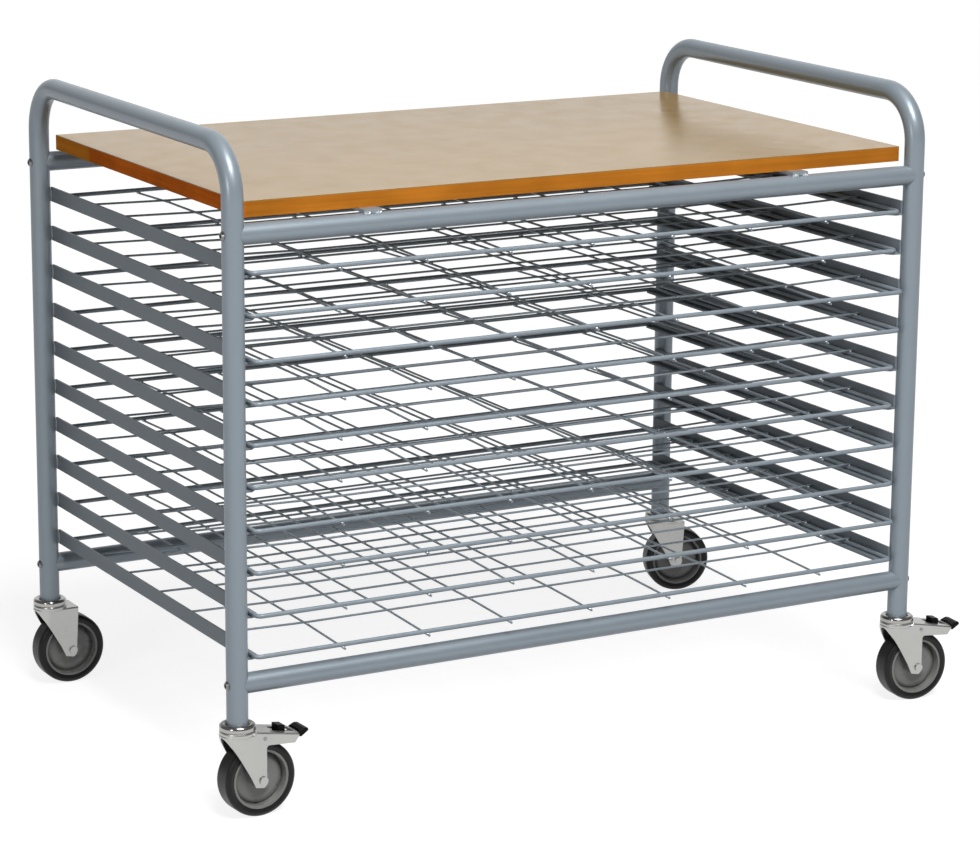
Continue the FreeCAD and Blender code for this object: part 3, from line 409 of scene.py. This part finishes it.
def new_material(name, tint):
    """A material with its node tree, its shader and the object's own coordinates."""
    material = bpy.data.materials.new(name)
    material.use_nodes = True
    material.diffuse_color = (*tint, 1)
    tree = material.node_tree
    shader = tree.nodes["Principled BSDF"]
    coordinates = tree.nodes.new("ShaderNodeTexCoord").outputs["Object"]
    return material, tree, shader, coordinates


def bumped(tree, shader, height, distance):
    """Lets a height raise the surface by up to the distance."""
    node = tree.nodes.new("ShaderNodeBump")
    node.inputs["Distance"].default_value = distance
    tree.links.new(height, node.inputs["Height"])
    tree.links.new(node.outputs["Normal"], shader.inputs["Normal"])


# ---------------------------------------------------------------- materials


def coated(
    name,
    tint,
    metallic=0.0,
    roughness=0.4,
    drift=0.1,
    cloud=60.0,
    grain=500.0,
    bump=0.00003,
    specular=0.5,
    coat=0.0,
    coat_roughness=0.2,
):
    """A coated or plated metal, or a plain moulding, with the shared grain."""
    material, tree, shader, coordinates = new_material(name, tint)
    node = tree.nodes.new("ShaderNodeGroup")
    node.node_tree = group_named("Coat grain", coat_group)
    tree.links.new(coordinates, node.inputs["Vector"])
    node.inputs["Colour"].default_value = (*tint, 1)
    node.inputs["Drift"].default_value = drift
    node.inputs["Cloud"].default_value = cloud
    node.inputs["Grain"].default_value = grain
    node.inputs["Roughness"].default_value = roughness
    tree.links.new(node.outputs["Colour"], shader.inputs["Base Color"])
    tree.links.new(node.outputs["Roughness"], shader.inputs["Roughness"])
    shader.inputs["Metallic"].default_value = metallic
    shader.inputs["Specular IOR Level"].default_value = specular
    shader.inputs["Coat Weight"].default_value = coat
    shader.inputs["Coat Roughness"].default_value = coat_roughness
    bumped(tree, shader, node.outputs["Height"], bump)
    return material


def laminate(name, tint, specular=0.20, bump=0.00001):
    """Glossy laminate: faint marbled blotches under a smooth clear surface."""
    material, tree, shader, coordinates = new_material(name, tint)
    marble = noise(tree, coordinates, scale=7.0, detail=5.0, roughness=0.6)
    blotch = spread(tree, marble, low=0.35, high=0.65, to_low=0.95, to_high=1.05)
    base = tree.nodes.new("ShaderNodeRGB")
    base.outputs[0].default_value = (*tint, 1)
    tree.links.new(shade(tree, base.outputs[0], blotch), shader.inputs["Base Color"])
    haze = noise(tree, coordinates, scale=25.0, detail=3.0)
    rough = spread(tree, haze, low=0.3, high=0.7, to_low=0.16, to_high=0.24)
    tree.links.new(rough, shader.inputs["Roughness"])
    shader.inputs["Specular IOR Level"].default_value = specular
    bumped(tree, shader, noise(tree, coordinates, scale=900.0, detail=2.0), bump)
    return material


def left_masks(tree, coordinates, edge=0.005, joint=0.8, blur=0.004, waviness=0.012):
    """1 on the lipping's left strip, and 1 on the part of it in front of its joint."""
    parts = tree.nodes.new("ShaderNodeSeparateXYZ")
    tree.links.new(coordinates, parts.inputs[0])
    low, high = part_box("table_lipping")
    inner, outer = low.x + edge - blur / 2, low.x + edge + blur / 2
    left = spread(tree, parts.outputs["X"], inner, outer, to_low=1.0, to_high=0.0)
    end = low.y + joint * (high.y - low.y)
    wave = noise(tree, coordinates, scale=45.0, detail=2.0)
    wave = spread(tree, wave, low=0.3, high=0.7, to_low=-waviness, to_high=waviness)
    wavy = reckon(tree, "ADD", parts.outputs["Y"], wave)
    ahead = spread(tree, wavy, end - blur, end + blur, to_low=1.0, to_high=0.0)
    return left, reckon(tree, "MULTIPLY", left, ahead)


def lipping_wood(name, tint, red_tint, painted_light_gain, roughness=0.40, bump=0.00006):
    """Lacquered wood: streaks and soft patches; the left strip made lighter by painted light, and redder wood in
    front.
    """
    material, tree, shader, coordinates = new_material(name, tint)
    stretch = tree.nodes.new("ShaderNodeMapping")
    stretch.inputs["Scale"].default_value = (6.0, 6.0, 240.0)
    tree.links.new(coordinates, stretch.inputs["Vector"])
    fibres = noise(tree, stretch.outputs[0], scale=1.0, detail=4.0, roughness=0.6)
    streak = spread(tree, fibres, low=0.3, high=0.7, to_low=0.85, to_high=1.1)
    patch = noise(tree, coordinates, scale=9.0, detail=3.0)
    patch = spread(tree, patch, low=0.35, high=0.65, to_low=0.84, to_high=1.1)
    left, red = left_masks(tree, coordinates)
    # Painted light: the left strip's colour is raised by the gain in place of light on that side.
    painted_light = spread(tree, left, low=0.0, high=1.0, to_low=1.0, to_high=painted_light_gain)
    amount = reckon(tree, "MULTIPLY", reckon(tree, "MULTIPLY", streak, patch), painted_light)
    wood = shade(tree, blended(tree, red, tint, red_tint), amount)
    tree.links.new(wood, shader.inputs["Base Color"])
    shader.inputs["Roughness"].default_value = roughness
    shader.inputs["Specular IOR Level"].default_value = 0.0
    bumped(tree, shader, streak, bump)
    return material


def coat_recipes(tints):
    """What sets each coated, plated or moulded slot apart, as arguments of coated()."""
    return {
        "frame_paint": dict(
            tint=tints.paint, metallic=0.30, roughness=0.36, cloud=6.0, grain=900.0,
            specular=0.2, coat=0.06,
        ),
        "rail_paint": dict(
            tint=tints.rail_paint, metallic=0.1, roughness=0.42, drift=0.12, cloud=6.0,
            grain=900.0, specular=0.05,
        ),
        "shelf_wire": dict(
            tint=tints.paint, metallic=0.2, roughness=0.38, drift=0.12, cloud=6.0,
            grain=900.0, bump=0.00002, specular=0.2,
        ),
        # Painted highlight: the welds share the frame's paint; their lighter tint stands in for the light they
        # catch.
        "weld": dict(
            tint=tints.weld, metallic=0.6, roughness=0.34, drift=0.30, cloud=90.0, bump=0.00008
        ),
        "steel": dict(tint=tints.steel, metallic=0.9, drift=0.20, grain=400.0),
        "zinc": dict(
            tint=tints.zinc, metallic=0.9, roughness=0.30, drift=0.25, cloud=30.0,
            grain=300.0, bump=0.00001,
        ),
        "dull_zinc": dict(
            tint=tints.dull_zinc, metallic=0.9, roughness=0.30, drift=0.30, cloud=90.0,
            grain=300.0, bump=0.00002,
        ),
        "bright_zinc": dict(
            tint=tints.bright_zinc, metallic=1.0, roughness=0.15, drift=0.15, grain=120.0
        ),
        "socket_plastic": dict(tint=tints.black, roughness=0.50, specular=0.2),
        "wheel_plastic": dict(tint=tints.wheel_grey, roughness=0.30, drift=0.16, grain=600.0),
        "tyre": dict(tint=tints.rubber, drift=0.30, bump=0.00004, specular=0.25),
        "black_plastic": dict(tint=tints.black, roughness=0.38, grain=800.0, specular=0.1),
    }


def finish(slot):
    """The material of one of the record's slots, made once."""
    name = f"finish_{slot}"
    material = bpy.data.materials.get(name)
    if material is not None:
        return material
    tints = bpy.context.scene.rack_finish
    if slot == "laminate":
        return laminate(name, tints.laminate)
    if slot == "lipping_wood":
        return lipping_wood(name, tints.lipping, tints.lipping_red, tints.left_painted_light)
    return coated(name, **coat_recipes(tints)[slot])


def dress(piece, body):
    """Ties a finished piece to its body."""
    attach(piece, body)
    return piece


# ---------------------------------------------------------------- operators


class Maker(bpy.types.Operator):
    bl_options = {"REGISTER", "UNDO"}


class RACK_OT_finishes(Maker):
    """Gives every CAD node the finish of its slot in the record"""

    bl_idname = "rack.finishes"
    bl_label = "Finishes"

    def finish_name(self, part):
        """Screws and nuts are plated like the forks, but duller."""
        small = part["node"].endswith(("_screws", "_axle_nut"))
        return "dull_zinc" if small else part["material_slot"]

    def execute(self, context):
        for part in frame["record"]["subparts"]:
            node = frame["nodes"][part["node"]]
            node.data.materials.clear()
            node.data.materials.append(finish(self.finish_name(part)))
        return {"FINISHED"}


class RACK_OT_rail_welds(Maker):
    """Weld beads in the grooves between the angle rails and the legs"""

    bl_idname = "rack.rail_welds"
    bl_label = "Rail welds"

    def execute(self, context):
        sizes = context.scene.rack_rail_welds
        bead = (sizes.bead_length, sizes.bead_depth, sizes.bead_width)
        for side, sign in SIDES.items():
            low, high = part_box(f"{side}_shelf_rails")
            leg_low, leg_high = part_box(f"{side}_side_frame")
            leg_radius = (leg_high.x - leg_low.x) / 2
            web = high.x if sign > 0 else low.x
            x = web + sign * sizes.groove
            half_depth = (leg_high.y - leg_low.y) / 2 - leg_radius - sizes.inset
            middle = (leg_high.y + leg_low.y) / 2
            deep = [middle + end * half_depth for end in ENDS.values()]
            feet = np.linspace(low.z, high.z - sizes.rail_height, len(SHELVES))
            levels = feet + sizes.rail_height / 2
            centres = np.vstack([grid_points([x], deep, height) for height in levels])
            piece = beads(
                f"{side}_rail_welds",
                centres,
                UP,
                -sign * RIGHTWARDS,
                bead,
                finish("weld"),
                rows=15,
                columns=10,
                ripple=sizes.ripple,
            )
            dress(piece, "frame")
        return {"FINISHED"}


class RACK_OT_lug_welds(Maker):
    """Two weld spots on the outer edge of each lug under the board"""

    bl_idname = "rack.lug_welds"
    bl_label = "Lug welds"

    def execute(self, context):
        sizes = context.scene.rack_lug_welds
        low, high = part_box("table_lugs")
        tube_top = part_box("front_top_tube")[1].z
        middle = (low.x + high.x) / 2
        offset = (high.x - low.x - sizes.lug_width) / 2
        across = [
            middle + side * offset + end * sizes.spread / 2
            for side in SIDES.values()
            for end in ENDS.values()
        ]
        centres = grid_points(across, [low.y, high.y], tube_top - sizes.drop)
        spot = (sizes.spot_length, sizes.spot_width, sizes.spot_width)
        piece = beads(
            "lug_welds",
            centres,
            RIGHTWARDS,
            UP,
            spot,
            finish("weld"),
            rows=11,
            columns=10,
            ripple=sizes.ripple,
        )
        dress(piece, "frame")
        return {"FINISHED"}


class RACK_OT_wire_welds(Maker):
    """Weld nuggets where the wires of each loose shelf cross its rods and each other"""

    bl_idname = "rack.wire_welds"
    bl_label = "Wire welds"

    def execute(self, context):
        sizes = context.scene.rack_wire_welds
        half_across, half_deep = sizes.rods_across / 2, sizes.rods_deep / 2
        across = np.linspace(-half_across, half_across, sizes.cross_wires + 2)
        deep = np.linspace(-half_deep, half_deep, sizes.long_wires + 2)
        joints = {
            "rods": np.vstack([
                grid_points(across[[0, -1]], deep[1:-1], sizes.rod_radius),
                grid_points(across[1:-1], deep[[0, -1]], -sizes.rod_radius),
            ]),
            "wires": grid_points(across[1:-1], deep[1:-1], 0.0),
        }
        nuggets = {"rods": sizes.rod_nugget, "wires": sizes.mesh_nugget}
        for shelf in SHELVES:
            middle = np.mean([list(corner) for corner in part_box(shelf)], axis=0)
            for kind, points in joints.items():
                nugget = (nuggets[kind], nuggets[kind], sizes.thickness)
                piece = beads(
                    f"{shelf}_{kind}_welds",
                    points + middle,
                    RIGHTWARDS,
                    BACKWARDS,
                    nugget,
                    finish("weld"),
                    rows=5,
                    columns=8,
                )
                dress(piece, f"loose_{shelf}")
        return {"FINISHED"}


class RACK_OT_wheels(Maker):
    """Moulded wheel centres: rim with a flat edge, a well inside it, a curved dish and a hub"""

    bl_idname = "rack.wheels"
    bl_label = "Wheel centres"

    def execute(self, context):
        sizes = context.scene.rack_wheels
        side = np.vstack([
            [
                (sizes.bore_radius, sizes.hub_half),
                (sizes.hub_radius, sizes.hub_half),
                (sizes.hub_radius, sizes.crown_half),
                (sizes.crown_radius, sizes.crown_half),
            ],
            arc(
                (sizes.crown_radius, sizes.crown_half),
                (sizes.well_radius, sizes.crown_half),
                (sizes.well_radius, sizes.well_half),
            )[1:],
            [(sizes.rim_radius - sizes.lip, sizes.rim_half), (sizes.rim_radius, sizes.rim_half)],
        ])
        profile = np.vstack([side, side[::-1] * (1, -1)])
        for joint in frame["joints"]:
            if not joint["name"].endswith("_roll"):
                continue
            node = joint["child"] + "_centre"
            piece = lathe(
                node.replace("_centre", "_moulding"),
                profile,
                joint["pos_m"],
                joint["axis"],
                sizes.steps,
                finish("wheel_plastic"),
            )
            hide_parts(node)
            dress(piece, joint["child"])
        return {"FINISHED"}


class RACK_OT_stage(Maker):
    """Floor, lamps, even light and camera"""

    bl_idname = "rack.stage"
    bl_label = "Studio"

    def execute(self, context):
        scene = context.scene
        sizes = scene.rack_stage
        self.floor(sizes)
        self.world(scene, sizes)
        for name in ("key", "top", "fill"):
            self.lamp(name, sizes)
        self.camera(scene)
        scene.view_settings.view_transform = "Standard"
        return {"FINISHED"}

    def seen(self, tree, path):
        """1 where the camera sees a surface, by itself or in something shiny or clear."""
        glossy, clear = path.outputs["Is Glossy Ray"], path.outputs["Is Transmission Ray"]
        mirrored = reckon(tree, "MAXIMUM", glossy, clear)
        return reckon(tree, "MAXIMUM", path.outputs["Is Camera Ray"], mirrored)

    def floor(self, sizes, roughness=0.9):
        """A pale floor that shows white in the open and keeps the rack's soft shadow."""
        half = sizes.floor_side / 2
        corners = half * np.array([[-1, -1, 0], [1, -1, 0], [1, 1, 0], [-1, 1, 0]])
        grey = (sizes.floor_grey,) * 3
        material, tree, shader, coordinates = new_material("finish_floor", grey)
        shader.inputs["Base Color"].default_value = (*grey, 1)
        shader.inputs["Roughness"].default_value = roughness
        shader.inputs["Specular IOR Level"].default_value = 0.0
        shader.inputs["Emission Color"].default_value = (1, 1, 1, 1)
        seen = self.seen(tree, tree.nodes.new("ShaderNodeLightPath"))
        distance = tree.nodes.new("ShaderNodeVectorMath")
        distance.operation = "LENGTH"
        tree.links.new(coordinates, distance.inputs[0])
        growing = spread(
            tree,
            distance.outputs["Value"],
            sizes.near,
            sizes.far,
            sizes.near_glow,
            sizes.far_glow,
        )
        glow = reckon(tree, "MULTIPLY", seen, growing)
        tree.links.new(glow, shader.inputs["Emission Strength"])
        add_mesh("floor", corners, np.array([[0, 1, 2, 3]]), material)

    def world(self, scene, sizes):
        """Even light, a white backdrop, and a dimmer room where shiny surfaces face the camera."""
        world = bpy.data.worlds.new("Studio")
        scene.world = world
        world.use_nodes = True
        tree = world.node_tree
        sky = tree.nodes["Background"]
        sky.inputs["Color"].default_value = (1, 1, 1, 1)
        heading = scene.rack_camera.heading
        direction = tree.nodes.new("ShaderNodeTexCoord").outputs["Generated"]
        facing = tree.nodes.new("ShaderNodeVectorMath")
        facing.operation = "DOT_PRODUCT"
        tree.links.new(direction, facing.inputs[0])
        facing.inputs[1].default_value = (math.sin(heading), math.cos(heading), 0)
        mirrored = spread(
            tree,
            facing.outputs["Value"],
            math.cos(sizes.room_edge),
            math.cos(sizes.backdrop_edge),
            sizes.room,
            sizes.backdrop,
        )
        path = tree.nodes.new("ShaderNodeLightPath")
        seen = self.seen(tree, path)
        shown = reckon(tree, "MAXIMUM", mirrored, path.outputs["Is Camera Ray"])
        hidden = reckon(tree, "MULTIPLY", reckon(tree, "SUBTRACT", 1.0, seen), sizes.sky)
        strength = reckon(tree, "MULTIPLY_ADD", seen, shown, hidden)
        tree.links.new(strength, sky.inputs["Strength"])

    def lamp(self, name, sizes):
        """A square lamp that faces the middle of the rack."""
        stand = Vector(getattr(sizes, f"{name}_place"))
        data = bpy.data.lights.new(f"{name}_lamp", "AREA")
        data.size = getattr(sizes, f"{name}_side")
        data.energy = getattr(sizes, f"{name}_power")
        lamp = bpy.data.objects.new(f"{name}_lamp", data)
        lamp.location = stand
        aim = Vector((0, 0, sizes.aim_height)) - stand
        lamp.rotation_euler = aim.to_track_quat("-Z", "Y").to_euler()
        bpy.context.scene.collection.objects.link(lamp)

    def camera(self, scene):
        """The camera, turned by its heading, its tilt and its roll, in that order."""
        view = scene.rack_camera
        data = bpy.data.cameras.new("camera")
        data.sensor_width = SENSOR_WIDTH
        data.lens = view.focal
        data.clip_end = view.far
        camera = bpy.data.objects.new("camera", data)
        turn = (
            Matrix.Rotation(-view.heading, 4, "Z")
            @ Matrix.Rotation(math.pi / 2 - view.tilt, 4, "X")
            @ Matrix.Rotation(view.roll, 4, "Z")
        )
        camera.matrix_world = Matrix.Translation(view.place) @ turn
        scene.collection.objects.link(camera)
        scene.camera = camera


class RACK_PT_sidebar(bpy.types.Panel):
    """The rack's settings and makers"""

    bl_label = "Drying rack"
    bl_idname = "RACK_PT_sidebar"
    bl_space_type = "VIEW_3D"
    bl_region_type = "UI"
    bl_category = "Drying rack"

    def draw(self, context):
        for title, holder, makers in SECTIONS:
            box = self.layout.box()
            box.label(text=title)
            settings = getattr(context.scene, holder)
            for field in settings.__annotations__:
                box.prop(settings, field)
            for maker in makers:
                box.operator(maker.bl_idname)


SECTIONS = (
    ("Finishes", "rack_finish", (RACK_OT_finishes,)),
    ("Rail welds", "rack_rail_welds", (RACK_OT_rail_welds,)),
    ("Lug welds", "rack_lug_welds", (RACK_OT_lug_welds,)),
    ("Wire welds", "rack_wire_welds", (RACK_OT_wire_welds,)),
    ("Wheels", "rack_wheels", (RACK_OT_wheels,)),
    ("Camera", "rack_camera", ()),
    ("Studio", "rack_stage", (RACK_OT_stage,)),
)
HOLDERS = {
    "rack_finish": FinishSettings,
    "rack_rail_welds": RailWeldSettings,
    "rack_lug_welds": LugWeldSettings,
    "rack_wire_welds": WireWeldSettings,
    "rack_wheels": WheelSettings,
    "rack_camera": CameraSettings,
    "rack_stage": StageSettings,
}
MAKER_ORDER = tuple(maker for title, holder, makers in SECTIONS for maker in makers)


def register():
    for settings in HOLDERS.values():
        bpy.utils.register_class(settings)
    for maker in MAKER_ORDER:
        bpy.utils.register_class(maker)
    bpy.utils.register_class(RACK_PT_sidebar)
    for name, settings in HOLDERS.items():
        setattr(bpy.types.Scene, name, PointerProperty(type=settings))


def unregister():
    for name in HOLDERS:
        delattr(bpy.types.Scene, name)
    for kind in (RACK_PT_sidebar, *MAKER_ORDER, *HOLDERS.values()):
        bpy.utils.unregister_class(kind)


def main():
    register()
    for maker in MAKER_ORDER:
        area, name = maker.bl_idname.split(".")
        getattr(getattr(bpy.ops, area), name)()


if __name__ == "__main__":
    main()
